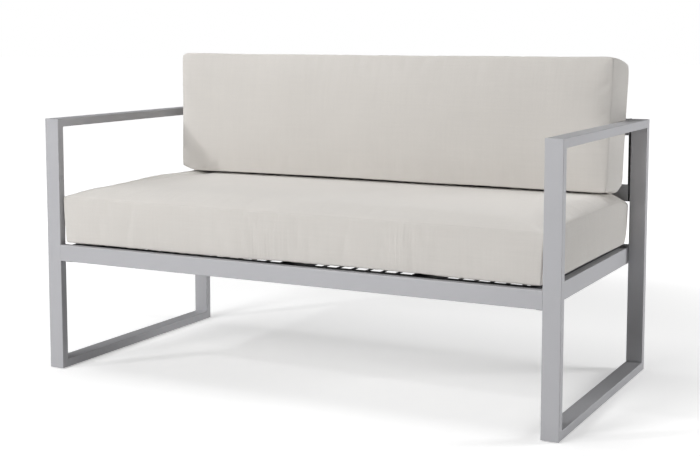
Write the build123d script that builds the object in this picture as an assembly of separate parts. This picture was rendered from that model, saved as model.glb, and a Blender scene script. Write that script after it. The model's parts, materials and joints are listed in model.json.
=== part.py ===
from build123d import *
import math
import os

# A patio loveseat: two closed rectangular side loops of flat tube, a bolted seat frame with an open
# bar deck, a bolted back frame of two rails, and two loose boxed cushions.
# Millimetres. X runs to the sitter's left arm as seen from the front, Y to the back, Z up.
# The origin is on the floor, under the middle of the frame.

# Side loops
overall_width = 1320
overall_depth = 660
loop_height = 620
tube_wide = 40
tube_thin = 20
tube_wall = 2
tube_edge_radius = 1.4

# Glides pressed into the underside of the loops
glide_head_thick = 2
glide_head_radius = 8
glide_stem_radius = 4
glide_stem_length = 8
glide_stem_clearance = 0.15
glide_inset = 60

# Seat frame
rail_top_above_runner = 310
rail_height = 40
side_rail_drop = 5
cross_tube_spacing = 330
cross_tube_count = 3

# Bar deck
deck_bar_width = 5
deck_bar_height = 3
deck_bar_pitch = 36.2
deck_strip_width = 20
deck_strip_thick = 6
deck_wire = 6
deck_cross_wire_count = 2

# Joining pieces of the seat frame
spigot_length = 62
spigot_clearance = 0.3
screw_radius = 3
screw_head_radius = 5.2
screw_head_depth = 2
screw_socket_radius = 1.9
screw_socket_depth = 1.8
screw_hole_clearance = 0.3
screw_length = 12
spigot_screw_setback = 36
spigot_screw_spacing = 16

# Back frame
back_low_rail_top = 458
back_plate_thick = 4
back_bolt_spacing = 64
back_bolt_length = 14
washer_radius = 6.4
washer_thick = 1.2
nut_flange_radius = 5.5
nut_flange_thick = 0.8
nut_barrel_radius = 4.5
nut_barrel_length = 11
nut_wall_clearance = 0.1

# Seat cushion
seat_side_gap = 3
seat_front_setback = 15
seat_rear_gap = 5
seat_low_seam = 9
seat_boxing = 109
seat_top_crown = 22
seat_draw_in = 4
seat_under_roll = 60

# Back cushion
back_side_gap = 9
back_front_height = 316
back_boxing = 134
back_lean = 7.5
back_front_crown = 16
back_rear_crown = 12
back_bottom_gap = 7
back_bottom_rise = 7
back_top_fall = 20
back_top_crown = 10
back_draw_in = 2

# Both cushions
soft_clearance = 0.3
cushion_rest_gap = 0.6
cover_thick = 2
edge_roll = 26
boxing_bulge = 3
corner_tuck = 6
end_roll = 26
end_ring_count = 4
draw_station_count = 5

# Shapes of the rolled edge of a cushion panel, as shares of its roll and crown
roll_height_share = 0.82
roll_mid_run_share = 0.34
roll_mid_rise_share = 0.62
under_roll_rise_share = 0.42
end_fullness_share = 0.1

# Worked out from the values above
runner_bottom = glide_head_thick
loop_top = runner_bottom + loop_height
half_width = overall_width / 2
half_depth = overall_depth / 2
leg_inner_x = half_width - tube_wide
leg_inner_y = half_depth - tube_thin
back_plate_outer_x = leg_inner_x - washer_thick
back_plate_inner_x = back_plate_outer_x - back_plate_thick
rail_top = runner_bottom + rail_top_above_runner
deck_top = rail_top
side_rail_top = rail_top - side_rail_drop
back_rail_top = loop_top
back_low_top = runner_bottom + back_low_rail_top
cut_overrun = 1

os.makedirs("parts", exist_ok=True)


def save(shape, name):
    shape.label = name
    export_step(shape, os.path.join("parts", name + ".step"))


def box_between(low, high):
    """A plain block between two corners."""
    size = [b - a for a, b in zip(low, high)]
    return Pos(*low) * Box(*size, align=(Align.MIN, Align.MIN, Align.MIN))


def rounded_block(low, high, along, radius):
    """A block whose four edges along one axis are rounded."""
    block = box_between(low, high)
    return fillet(block.edges().filter_by(along), radius)


def tube_between(low, high, along):
    """A rectangular tube between two corners, open at both ends along its axis."""
    outer = rounded_block(low, high, along, tube_edge_radius)
    run = {Axis.X: 0, Axis.Y: 1, Axis.Z: 2}[along]
    bore_low = [a - cut_overrun if i == run else a + tube_wall for i, a in enumerate(low)]
    bore_high = [b + cut_overrun if i == run else b - tube_wall for i, b in enumerate(high)]
    return outer - box_between(bore_low, bore_high)


def disc(radius, height, place, direction):
    """A short cylinder that starts at a place and runs along a direction."""
    plane = Plane(origin=place, z_dir=direction)
    return plane * Cylinder(radius, height, align=(Align.CENTER, Align.CENTER, Align.MIN))


# Side loops: four mitred tubes each, wide face across the seat
def loop_corners(inset):
    """The four corners of the loop in Y and Z, drawn in from its outer edge."""
    return [
        (-half_depth + inset, runner_bottom + inset),
        (half_depth - inset, runner_bottom + inset),
        (half_depth - inset, loop_top - inset),
        (-half_depth + inset, loop_top - inset),
    ]


def loop_bar(first, near_inset, far_inset, x_low, x_high):
    """One mitred side of the loop, between two insets, as a prism across X."""
    near = loop_corners(near_inset)
    far = loop_corners(far_inset)
    second = (first + 1) % len(near)
    outline = [near[first], near[second], far[second], far[first]]
    points = [Vector(x_low, y, z) for y, z in outline]
    face = Face(Wire.make_polygon(points, close=True))
    return Solid.extrude(face, Vector(x_high - x_low, 0, 0))


def glide_centres(side):
    x = side * (half_width - tube_wide / 2)
    return [(x, end * (half_depth - glide_inset), runner_bottom) for end in (-1, 1)]


def back_bolt_heights():
    middle = (back_rail_top - rail_height + back_low_top) / 2
    return [middle + step * back_bolt_spacing / 2 for step in (-1, 1)]


def make_side_loop(side, side_name):
    x_low, x_high = sorted((side * half_width, side * leg_inner_x))
    names = ["runner", "rear_leg", "arm", "front_leg"]
    for first, name in enumerate(names):
        bar = loop_bar(first, 0, tube_thin, x_low, x_high)
        along = Axis.Y if name in ("runner", "arm") else Axis.Z
        bar = fillet(bar.edges().filter_by(along), tube_edge_radius)
        bore = loop_bar(first, tube_wall, tube_thin - tube_wall, x_low + tube_wall, x_high - tube_wall)
        bar = bar - bore
        if name == "runner":
            for x, y, z in glide_centres(side):
                hole = glide_stem_radius + glide_stem_clearance
                bar = bar - disc(hole, tube_wall + cut_overrun, (x, y, z - cut_overrun / 2), (0, 0, 1))
        if name == "rear_leg":
            for z in back_bolt_heights():
                hole = nut_barrel_radius + nut_wall_clearance
                start = side * (leg_inner_x - cut_overrun / 2)
                centre_y = half_depth - tube_thin / 2
                bar = bar - disc(hole, tube_wall + cut_overrun, (start, centre_y, z), (side, 0, 0))
        save(bar, f"{side_name}_{name}")


def make_glides(side, side_name):
    for (x, y, z), end_name in zip(glide_centres(side), ("front", "rear")):
        head = Pos(x, y, z - glide_head_thick / 2) * Cylinder(glide_head_radius, glide_head_thick)
        head = chamfer(head.edges().group_by(Axis.Z)[0], glide_head_thick / 4)
        stem = disc(glide_stem_radius, glide_stem_length, (x, y, z), (0, 0, 1))
        save(head + stem, f"{side_name}_{end_name}_glide")


# Seat frame: four rails, with cross tubes that carry the bar deck
def end_rail_corners(end):
    y_low, y_high = sorted((end * half_depth, end * leg_inner_y))
    return (-leg_inner_x, y_low, rail_top - rail_height), (leg_inner_x, y_high, rail_top)


def spigot_screw_places():
    """Where a screw enters the underside of an end rail, on both ends of it."""
    places = []
    for end in (-1, 1):
        for side in (-1, 1):
            for step in (0, 1):
                x = side * (leg_inner_x - spigot_screw_setback - step * spigot_screw_spacing)
                places.append((x, end * (half_depth - tube_thin / 2), rail_top - rail_height))
    return places


def make_end_rails():
    for end, name in ((-1, "front_rail"), (1, "rear_rail")):
        rail = tube_between(*end_rail_corners(end), Axis.X)
        for x, y, z in spigot_screw_places():
            if y * end > 0:
                hole = screw_radius + screw_hole_clearance
                rail = rail - disc(hole, tube_wall + cut_overrun, (x, y, z - cut_overrun / 2), (0, 0, 1))
                rail = rail - sunk_head((x, y, z), (0, 0, 1))
        save(rail, name)


def make_spigots():
    """Solid stubs welded to the legs, which slide into the open ends of the end rails."""
    skin = tube_wall + spigot_clearance
    stubs = []
    for end in (-1, 1):
        y_low, y_high = sorted((end * (half_depth - skin), end * (leg_inner_y + skin)))
        for side in (-1, 1):
            x_low, x_high = sorted((side * leg_inner_x, side * (leg_inner_x - spigot_length)))
            low = (x_low, y_low, rail_top - rail_height + skin)
            stub = box_between(low, (x_high, y_high, rail_top - skin))
            for x, y, z in spigot_screw_places():
                if y * end > 0 and x * side > 0:
                    depth = screw_length + cut_overrun
                    hole = screw_radius + spigot_clearance
                    stub = stub - disc(hole, depth, (x, y, z), (0, 0, 1))
            stubs.append(stub)
    save(Compound(children=stubs), "rail_spigots")


def sunk_head(place, direction):
    """The cone of a countersunk head, whose flat top is at the place."""
    plane = Plane(origin=place, z_dir=direction)
    from_top = (Align.CENTER, Align.CENTER, Align.MIN)
    return plane * Cone(screw_head_radius, screw_radius, screw_head_depth, align=from_top)


def sunk_screw(place, direction, length):
    """A countersunk socket screw whose head is flush with the place."""
    head = sunk_head(place, direction)
    shank = disc(screw_radius, length, place, direction)
    socket_plane = Plane(origin=place, z_dir=direction)
    socket = extrude(socket_plane * RegularPolygon(screw_socket_radius, 6), screw_socket_depth)
    return head + shank - socket


def make_spigot_screws():
    screws = [sunk_screw(place, (0, 0, 1), screw_length) for place in spigot_screw_places()]
    save(Compound(children=screws), "seat_frame_screws")


def make_side_rails():
    for side, name in ((-1, "left_side_rail"), (1, "right_side_rail")):
        x_low, x_high = sorted((side * leg_inner_x, side * (leg_inner_x - tube_thin)))
        low = (x_low, -leg_inner_y, side_rail_top - rail_height)
        high = (x_high, leg_inner_y, side_rail_top)
        save(tube_between(low, high, Axis.Y), name)


def cross_tube_centres():
    middle = (cross_tube_count - 1) / 2
    return [(i - middle) * cross_tube_spacing for i in range(cross_tube_count)]


def make_cross_tubes():
    for x, name in zip(cross_tube_centres(), ("left", "middle", "right")):
        low = (x - tube_wide / 2, -leg_inner_y, deck_top - tube_thin)
        high = (x + tube_wide / 2, leg_inner_y, deck_top)
        save(tube_between(low, high, Axis.Y), f"{name}_cross_tube")


def deck_bays():
    """The clear widths between side rails and cross tubes, from left to right."""
    edges = [-leg_inner_x + tube_thin]
    for x in cross_tube_centres():
        edges += [x - tube_wide / 2, x + tube_wide / 2]
    edges.append(leg_inner_x - tube_thin)
    return list(zip(edges[0::2], edges[1::2]))


def make_deck_grid(x_low, x_high, name):
    """A welded panel: flat bars between two end strips, wires below, and a strip along a side rail."""
    bar_low = deck_top - deck_bar_height
    strip_low = deck_top - deck_strip_thick
    bar_reach = leg_inner_y - deck_strip_width
    strips = [
        box_between((x_low, -leg_inner_y, strip_low), (x_high, -bar_reach, deck_top)),
        box_between((x_low, bar_reach, strip_low), (x_high, leg_inner_y, deck_top)),
    ]
    for edge_x, side in ((x_low, -1), (x_high, 1)):
        if abs(edge_x) == leg_inner_x - tube_thin:
            near_x, far_x = sorted((edge_x, edge_x - side * deck_strip_width))
            strips.append(box_between((near_x, -bar_reach, strip_low), (far_x, bar_reach, deck_top)))
    spans = deck_cross_wire_count + 1
    wires = []
    for i in range(1, spans):
        y = -leg_inner_y + 2 * leg_inner_y * i / spans
        wire_low = (x_low, y - deck_wire / 2, bar_low - deck_wire)
        wires.append(box_between(wire_low, (x_high, y + deck_wire / 2, bar_low)))
    clear = x_high - x_low
    gaps = round(clear / deck_bar_pitch)
    bars = []
    for i in range(1, gaps):
        x = x_low + clear * i / gaps
        half_bar = deck_bar_width / 2
        bars.append(box_between((x - half_bar, -bar_reach, bar_low), (x + half_bar, bar_reach, deck_top)))
    grid = strips[0].fuse(*strips[1:], *wires, *bars)
    save(grid, name)


# Back frame: two rails between flange plates that bolt to the rear legs, a washer's thickness off them
def make_back_frame():
    end_x = back_plate_inner_x
    for top, name in ((back_rail_top, "back_top_rail"), (back_low_top, "back_low_rail")):
        save(tube_between((-end_x, leg_inner_y, top - rail_height), (end_x, half_depth, top), Axis.X), name)
    for side, side_name in ((-1, "left"), (1, "right")):
        x_low, x_high = sorted((side * back_plate_outer_x, side * end_x))
        low = (x_low, leg_inner_y, back_low_top - rail_height)
        plate = rounded_block(low, (x_high, half_depth, back_rail_top), Axis.X, tube_edge_radius)
        for z in back_bolt_heights():
            hole = screw_radius + screw_hole_clearance
            centre_y = half_depth - tube_thin / 2
            start = (side * end_x, centre_y, z)
            plate = plate - disc(hole, back_plate_thick + cut_overrun, start, (side, 0, 0))
            plate = plate - sunk_head(start, (side, 0, 0))
        save(plate, f"{side_name}_back_plate")


def make_back_fasteners():
    """Sunk screws, spacing washers and blind rivet nuts that hold the back frame to the legs."""
    centre_y = half_depth - tube_thin / 2
    bolts, washers, nuts = [], [], []
    for side in (-1, 1):
        for z in back_bolt_heights():
            out = (side, 0, 0)
            washer_start = (side * back_plate_outer_x, centre_y, z)
            ring = disc(washer_radius, washer_thick, washer_start, out)
            bore = disc(screw_radius + screw_hole_clearance, washer_thick, washer_start, out)
            washers.append(ring - bore)
            bolts.append(sunk_screw((side * back_plate_inner_x, centre_y, z), out, back_bolt_length))
            barrel = disc(nut_barrel_radius, nut_barrel_length, (side * leg_inner_x, centre_y, z), out)
            flange_start = (side * (leg_inner_x + tube_wall), centre_y, z)
            flange = disc(nut_flange_radius, nut_flange_thick, flange_start, out)
            bore_radius = screw_radius + nut_wall_clearance
            thread = disc(bore_radius, nut_barrel_length, (side * leg_inner_x, centre_y, z), out)
            nuts.append(barrel + flange - thread)
    save(Compound(children=bolts), "back_frame_screws")
    save(Compound(children=washers), "back_frame_washers")
    save(Compound(children=nuts), "rivet_nuts")


# Cushions: sections across the seat, each of eight arcs, lofted from end to end
def arc_through(a, b, c):
    return Edge.make_three_point_arc(Vector(*a), Vector(*b), Vector(*c))


def offset_point(point, along, run, out, rise):
    return (point[0] + along[0] * run + out[0] * rise, point[1] + along[1] * run + out[1] * rise)


def panel_points(start, end, crown, roll, mid_rise_share):
    """The crowned panel between two seams: a rolled edge, a shallow arch, a rolled edge."""
    length = math.dist(start, end)
    along = ((end[0] - start[0]) / length, (end[1] - start[1]) / length)
    out = (along[1], -along[0])
    shoulder = crown * roll_height_share
    mid_run = roll * roll_mid_run_share
    mid_rise = shoulder * mid_rise_share
    return [
        start,
        offset_point(start, along, mid_run, out, mid_rise),
        offset_point(start, along, roll, out, shoulder),
        offset_point(start, along, length / 2, out, crown),
        offset_point(end, along, -roll, out, shoulder),
        offset_point(end, along, -mid_run, out, mid_rise),
    ]


def boxing_points(start, end, bulge):
    """The boxing strip between two seams: one shallow arch."""
    length = math.dist(start, end)
    along = ((end[0] - start[0]) / length, (end[1] - start[1]) / length)
    out = (along[1], -along[0])
    return [start, offset_point(start, along, length / 2, out, bulge)]


def drawn_in(corners, amount_y, amount_z):
    """The four seam corners moved towards the middle of the section."""
    middle_y = sum(y for y, z in corners) / len(corners)
    middle_z = sum(z for y, z in corners) / len(corners)
    moved = []
    for y, z in corners:
        moved.append((y - math.copysign(amount_y, y - middle_y), z - math.copysign(amount_z, z - middle_z)))
    return moved


def cushion_section(x, cushion, draw, fullness, skin):
    """A closed section of the cushion at one place across the seat.

    The corners run anticlockwise in Y and Z, and the sides take turns: boxing or crowned panel.
    The draw works in the plane of the panels, so the boxing keeps its width.
    """
    lies_flat = cushion["lies_flat"]
    draw_y, draw_z = (draw, 0) if lies_flat else (0, draw)
    corners = drawn_in(cushion["corners"], draw_y + skin, draw_z + skin)
    points = []
    for i, side in enumerate(cushion["sides"]):
        start, end = corners[i], corners[(i + 1) % len(corners)]
        if side[0] == "panel":
            points += panel_points(start, end, side[1] * fullness, *side[2:])
        else:
            points += boxing_points(start, end, side[1] * fullness)
    edges = []
    for i in range(0, len(points), 2):
        trio = [points[i], points[i + 1], points[(i + 2) % len(points)]]
        edges.append(arc_through(*[(x, y, z) for y, z in trio]))
    return Wire(edges)


def end_stations(shoulder):
    """The rolled end of a cushion: place across the seat, draw and fullness of each ring."""
    stations = []
    for i in range(1, end_ring_count + 1):
        turn = math.pi / 2 * i / end_ring_count
        fullness = end_fullness_share + (1 - end_fullness_share) * math.cos(turn)
        stations.append((shoulder + end_roll * math.sin(turn), corner_tuck * (1 - math.cos(turn)), fullness))
    return stations


def cushion_solid(cushion, skin):
    """A crowned, boxed cushion: drawn in between its ends, with a rolled edge at each end."""
    shoulder = cushion["half_width"] - skin - end_roll
    right_end = end_stations(shoulder)
    stations = [(-x, draw, fullness) for x, draw, fullness in reversed(right_end)]
    for i in range(draw_station_count):
        place = 2 * i / (draw_station_count - 1) - 1
        stations.append((shoulder * place, cushion["draw_in"] * math.cos(math.pi / 2 * place), 1))
    stations += right_end
    sections = [cushion_section(x, cushion, draw, fullness, skin) for x, draw, fullness in stations]
    return Solid.make_loft(sections, ruled=True)


def seat_cushion_shape():
    """Seams of the seat cushion: it lies on the deck, between the legs and the back frame."""
    front = -half_depth + seat_front_setback
    rear = leg_inner_y - seat_rear_gap
    low = deck_top + seat_low_seam
    high = low + seat_boxing
    return {
        "lies_flat": True,
        "draw_in": seat_draw_in,
        "half_width": leg_inner_x - seat_side_gap,
        "corners": [(front, low), (rear, low), (rear, high), (front, high)],
        "sides": [
            ("panel", seat_low_seam - soft_clearance, seat_under_roll, under_roll_rise_share),
            ("boxing", boxing_bulge),
            ("panel", seat_top_crown, edge_roll, roll_mid_rise_share),
            ("boxing", boxing_bulge),
        ],
    }


def seat_surface(seat, y):
    """Height of the seat cushion's arched top, between its rolled edges."""
    (rear, high), (front, _) = seat["corners"][2:]
    half_span = (rear - front) / 2 - edge_roll
    rise = seat_top_crown * (1 - roll_height_share)
    radius = (half_span**2 + rise**2) / (2 * rise)
    from_middle = y - (rear + front) / 2
    return high + seat_top_crown - radius + math.sqrt(radius**2 - from_middle**2)


def back_cushion_shape(seat):
    """Seams of the back cushion: it stands on the seat cushion and leans on the top rail."""
    seat_top = seat["corners"][2][1] + seat_top_crown
    slope = math.tan(math.radians(back_lean))
    stretch = 1 / math.cos(math.radians(back_lean))
    low = seat_top + back_bottom_gap
    reach = (back_boxing + back_rear_crown) * stretch
    front = leg_inner_y - soft_clearance - (back_rail_top - low) * slope - reach
    rear = front + back_boxing * stretch
    high = low + back_front_height
    high_front = front + back_front_height * slope
    high_rear = rear + (back_front_height - back_top_fall) * slope
    seam_middle = ((front + rear + back_bottom_rise * slope) / 2, low + back_bottom_rise / 2)
    bottom_crown = seam_middle[1] - seat_surface(seat, seam_middle[0]) - cushion_rest_gap
    return {
        "lies_flat": False,
        "draw_in": back_draw_in,
        "half_width": leg_inner_x - back_side_gap,
        "corners": [
            (front, low),
            (rear + back_bottom_rise * slope, low + back_bottom_rise),
            (high_rear, high - back_top_fall),
            (high_front, high),
        ],
        "sides": [
            ("boxing", bottom_crown),
            ("panel", back_rear_crown, edge_roll, roll_mid_rise_share),
            ("boxing", back_top_crown),
            ("panel", back_front_crown, edge_roll, roll_mid_rise_share),
        ],
    }


def make_cushion(cushion, name):
    outer = cushion_solid(cushion, 0)
    save(outer - cushion_solid(cushion, cover_thick), name + "_cover")
    save(cushion_solid(cushion, cover_thick + soft_clearance), name + "_foam")


for loop_side, loop_name in ((-1, "left"), (1, "right")):
    make_side_loop(loop_side, loop_name)
    make_glides(loop_side, loop_name)

make_end_rails()
make_spigots()
make_spigot_screws()
make_side_rails()
make_cross_tubes()
grid_names = ("left_outer_grid", "left_inner_grid", "right_inner_grid", "right_outer_grid")
for (bay_low, bay_high), grid_name in zip(deck_bays(), grid_names):
    make_deck_grid(bay_low, bay_high, grid_name)

make_back_frame()
make_back_fasteners()

seat = seat_cushion_shape()
make_cushion(seat, "seat_cushion")
make_cushion(back_cushion_shape(seat), "back_cushion")
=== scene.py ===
# %% [markdown]
# # A patio loveseat in satin silver tube and pale outdoor cloth
#
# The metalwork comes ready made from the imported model: closed side loops, rails, an open bar deck and a
# bolted back frame. This lesson gives it a finish and builds what a metal shop doesn't make: two boxed
# cushions, their sewn seams and zips, and the small weld beads of the joints. Lengths are in metres, X runs
# along the seat, Y to its back and Z up, and the floor is at Z = 0.

# %% Load the frame
import json
import math

import bpy
import bmesh
import numpy as np
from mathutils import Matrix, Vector, noise
from mathutils.bvhtree import BVHTree


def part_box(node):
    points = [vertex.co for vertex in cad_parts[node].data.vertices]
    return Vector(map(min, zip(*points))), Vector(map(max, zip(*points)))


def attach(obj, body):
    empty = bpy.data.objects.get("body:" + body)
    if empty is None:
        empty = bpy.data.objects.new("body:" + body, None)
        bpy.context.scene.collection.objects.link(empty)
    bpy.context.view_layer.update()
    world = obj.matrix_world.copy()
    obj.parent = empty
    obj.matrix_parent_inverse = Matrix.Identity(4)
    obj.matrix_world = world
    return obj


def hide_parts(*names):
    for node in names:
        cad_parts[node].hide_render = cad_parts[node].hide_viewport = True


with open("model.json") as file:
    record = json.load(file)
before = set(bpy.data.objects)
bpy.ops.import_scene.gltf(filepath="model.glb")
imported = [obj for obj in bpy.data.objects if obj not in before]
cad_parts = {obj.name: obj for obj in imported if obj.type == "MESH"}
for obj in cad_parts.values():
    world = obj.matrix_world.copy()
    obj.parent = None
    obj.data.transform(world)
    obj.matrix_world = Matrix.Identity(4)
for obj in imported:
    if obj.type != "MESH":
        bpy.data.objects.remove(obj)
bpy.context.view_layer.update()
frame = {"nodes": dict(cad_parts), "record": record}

MM = 0.001

# %% Object helpers
def add_object(name, data):
    """A new object in the scene, at the origin and unturned."""
    made = bpy.data.objects.new(name, data)
    bpy.context.scene.collection.objects.link(made)
    return made


def add_mesh(name, points, edges, faces):
    """A new object with a mesh of its own."""
    mesh = bpy.data.meshes.new(name)
    mesh.from_pydata(points, edges, faces)
    return add_object(name, mesh)


def take_result(piece, modifier):
    """Gives an object the mesh that its modifier makes, and removes the modifier."""
    graph = bpy.context.evaluated_depsgraph_get()
    ready = bpy.data.meshes.new_from_object(piece.evaluated_get(graph))
    piece.modifiers.remove(modifier)
    piece.data = ready
    ready.shade_smooth()
    return ready


def surface_of(piece):
    """The surface of a mesh, to find places and outward ways on it."""
    mesh = piece.data
    return BVHTree.FromPolygons([v.co for v in mesh.vertices], [p.vertices for p in mesh.polygons])


# %% [markdown]
# ## The camera
#
# The loveseat is seen from its right front corner, a little above the arms, through a short telephoto lens.
# Upright legs stay almost upright in such a picture, which a view camera does by shifting its lens instead
# of tilting down. Most of the tilt is kept here and only a small shift is used, so the same camera also
# frames the seat well when it is walked round to other sides.

# %% Camera
camera_place = (1.4706, -2.8164, 0.8329)
camera_azimuth = 27.536
camera_tilt_down = 5.844
camera_focal_mm = 67.08
camera_shift_up = -0.09
camera_shift_side = 0.0044

camera_data = bpy.data.cameras.new("camera")
camera_data.lens = camera_focal_mm
camera_data.sensor_width = 36
camera_data.shift_y = camera_shift_up
camera_data.shift_x = camera_shift_side
camera_data.clip_end = 60
camera = add_object("camera", camera_data)
camera.location = camera_place
camera.rotation_euler = (math.radians(90 - camera_tilt_down), 0, math.radians(camera_azimuth))
bpy.context.scene.camera = camera
bpy.context.scene.view_settings.view_transform = "Standard"

# %% [markdown]
# ## Floor and light
#
# The seat stands in a bright studio. A large soft lamp in front on the left makes the shape, and a small hard
# one further to the left draws the thin shadow of the arm on the back cushion. A low lamp on the right lights
# the sides that turn that way, a wide one above lights the tops, and a weak white room fills the shadows. The
# floor is so pale that it runs into the background. A floor that is bright enough to be white would throw a
# lot of light up at the seat, so it is an ordinary pale floor for the light, and only the camera sees the
# extra white, which grows with the distance from the seat.

# %% Node helpers
def set_values(tree, node, **values):
    """Sets properties, and inputs after in_, to a value, an output socket or a node's first output."""
    for name, value in values.items():
        if not name.startswith("in_"):
            setattr(node, name, value)
            continue
        key = name[3:]
        socket = node.inputs[int(key)] if key.isdigit() else node.inputs[key.replace("_", " ")]
        if isinstance(value, bpy.types.Node):
            value = value.outputs[0]
        if isinstance(value, bpy.types.NodeSocket):
            tree.links.new(value, socket)
        else:
            socket.default_value = value


def new_node(tree, kind, place, **values):
    """Adds a node at a grid place and sets its properties and inputs."""
    node = tree.nodes.new(kind)
    node.location = (place[0] * 200, place[1] * -180)
    set_values(tree, node, **values)
    return node


def maths(tree, operation, place, *inputs):
    """A Math node with its inputs in order."""
    values = {f"in_{number}": value for number, value in enumerate(inputs)}
    return new_node(tree, "ShaderNodeMath", place, operation=operation, **values)


def empty_tree(owner):
    """The cleared node tree of a material or a world."""
    owner.use_nodes = True
    owner.node_tree.nodes.clear()
    return owner.node_tree


# %% Floor, room and lamps
half_floor = 30
floor_grey = 0.80
floor_white_near, floor_white_far = 0.41, 1.0
floor_fade_start, floor_fade_end = 1.0, 2.7
room_strength = 0.04

corners = [(x * half_floor, y * half_floor, 0) for x, y in ((-1, -1), (1, -1), (1, 1), (-1, 1))]
floor = add_mesh("floor", corners, [], [(0, 1, 2, 3)])

floor_paint = bpy.data.materials.new("floor_paint")
tree = empty_tree(floor_paint)
camera_ray = new_node(tree, "ShaderNodeLightPath", (0, 0)).outputs["Is Camera Ray"]
place = new_node(tree, "ShaderNodeTexCoord", (0, 1)).outputs["Object"]
distance = new_node(tree, "ShaderNodeVectorMath", (1, 1), operation="LENGTH", in_0=place).outputs["Value"]
white = new_node(tree, "ShaderNodeMapRange", (2, 1), interpolation_type="SMOOTHSTEP", in_0=distance,
                 in_1=floor_fade_start, in_2=floor_fade_end, in_3=floor_white_near, in_4=floor_white_far)
share = maths(tree, "MULTIPLY", (3, 0), camera_ray, white)
glow = new_node(tree, "ShaderNodeEmission", (4, 0), in_Color=(1, 1, 1, 1), in_Strength=share)
matt = new_node(tree, "ShaderNodeBsdfDiffuse", (4, 1), in_Color=(floor_grey, floor_grey, floor_grey, 1))
both = new_node(tree, "ShaderNodeAddShader", (5, 0), in_0=glow, in_1=matt)
new_node(tree, "ShaderNodeOutputMaterial", (6, 0), in_0=both)
floor.data.materials.append(floor_paint)

world = bpy.data.worlds.new("white_room")
bpy.context.scene.world = world
tree = empty_tree(world)
path = new_node(tree, "ShaderNodeLightPath", (0, 0)).outputs
seen = maths(tree, "MAXIMUM", (1, 0), path["Is Camera Ray"], path["Is Transmission Ray"])
strength = new_node(tree, "ShaderNodeMapRange", (2, 0), in_0=seen, in_3=room_strength, in_4=1.0)
back = new_node(tree, "ShaderNodeBackground", (3, 0), in_Color=(1, 1, 1, 1), in_Strength=strength)
new_node(tree, "ShaderNodeOutputWorld", (4, 0), in_0=back)


def soft_lamp(name, place, aim, size, watts):
    """A square area lamp that looks at a point."""
    data = bpy.data.lights.new(name, "AREA")
    data.size = size
    data.energy = watts
    lamp = add_object(name, data)
    lamp.location = place
    lamp.rotation_euler = (Vector(aim) - Vector(place)).to_track_quat("-Z", "Y").to_euler()
    lamp.visible_camera = False


soft_lamp("key_lamp", (-1.4, -4.6, 2.4), (0, 0, 0.4), 1.8, 150)
soft_lamp("small_lamp", (-3.4, -3.6, 3.3), (0, 0, 0.4), 0.3, 55)
soft_lamp("rear_lamp", (3.4, 1.6, 1.1), (0.3, 0, 0.4), 1.0, 70)
soft_lamp("top_lamp", (-0.6, 0, 3.8), (0, 0, 0.4), 2.4, 58)

# %% [markdown]
# ## Shared surface effects
#
# Three small node groups give every finish its life. The first is the slow unevenness that any large
# surface has: patches a little lighter, darker, smoother or duller. The second is the fine pebble of a baked
# powder coat. The third is a plain weave, which follows the cloth's own flat map, so that the yarns bend
# with every fold. A group only puts out masks, colours and heights, and each material decides what to do
# with them.

# %% Shader groups
def new_group(name, tree_kind, inputs, outputs):
    """A node group with named sockets. Returns it, the sockets that come in, and its output node."""
    group = bpy.data.node_groups.new(name, tree_kind)
    for label, kind, value in inputs:
        socket = group.interface.new_socket(label, in_out="INPUT", socket_type="NodeSocket" + kind)
        if value is not None:
            socket.default_value = value
    for label, kind in outputs:
        group.interface.new_socket(label, in_out="OUTPUT", socket_type="NodeSocket" + kind)
    inside = new_node(group, "NodeGroupInput", (0, 0))
    return group, inside.outputs, new_node(group, "NodeGroupOutput", (9, 0))


def make_slow_variation():
    """Wide patches a little above and below 1."""
    group, given, outside = new_group(
        "slow_variation", "ShaderNodeTree",
        [("Place", "Vector", None), ("Scale", "Float", 5.0), ("Spread", "Float", 0.1)], [("Value", "Float")])
    wide = new_node(group, "ShaderNodeTexNoise", (2, 0), in_Vector=given["Place"], in_Scale=given["Scale"],
                    in_Detail=3.0, in_Roughness=0.6)
    centred = maths(group, "SUBTRACT", (3, 0), wide, 0.5)
    spread = maths(group, "MULTIPLY", (4, 0), centred, given["Spread"])
    set_values(group, outside, in_Value=maths(group, "ADD", (5, 0), spread, 1.0))
    return group


def make_powder_pebble():
    """The low bumps of a baked coat, and a tone for each small flake."""
    group, given, outside = new_group(
        "powder_pebble", "ShaderNodeTree",
        [("Place", "Vector", None), ("Pebble Scale", "Float", 900.0), ("Flake Scale", "Float", 2600.0)],
        [("Height", "Float"), ("Flake", "Float")])
    pebble = new_node(group, "ShaderNodeTexNoise", (2, 0), in_Vector=given["Place"],
                      in_Scale=given["Pebble Scale"], in_Detail=2.0, in_Roughness=0.5)
    flake = new_node(group, "ShaderNodeTexVoronoi", (2, 1), feature="F1", in_Vector=given["Place"],
                     in_Scale=given["Flake Scale"])
    set_values(group, outside, in_Height=pebble, in_Flake=flake.outputs["Color"])
    return group


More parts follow.
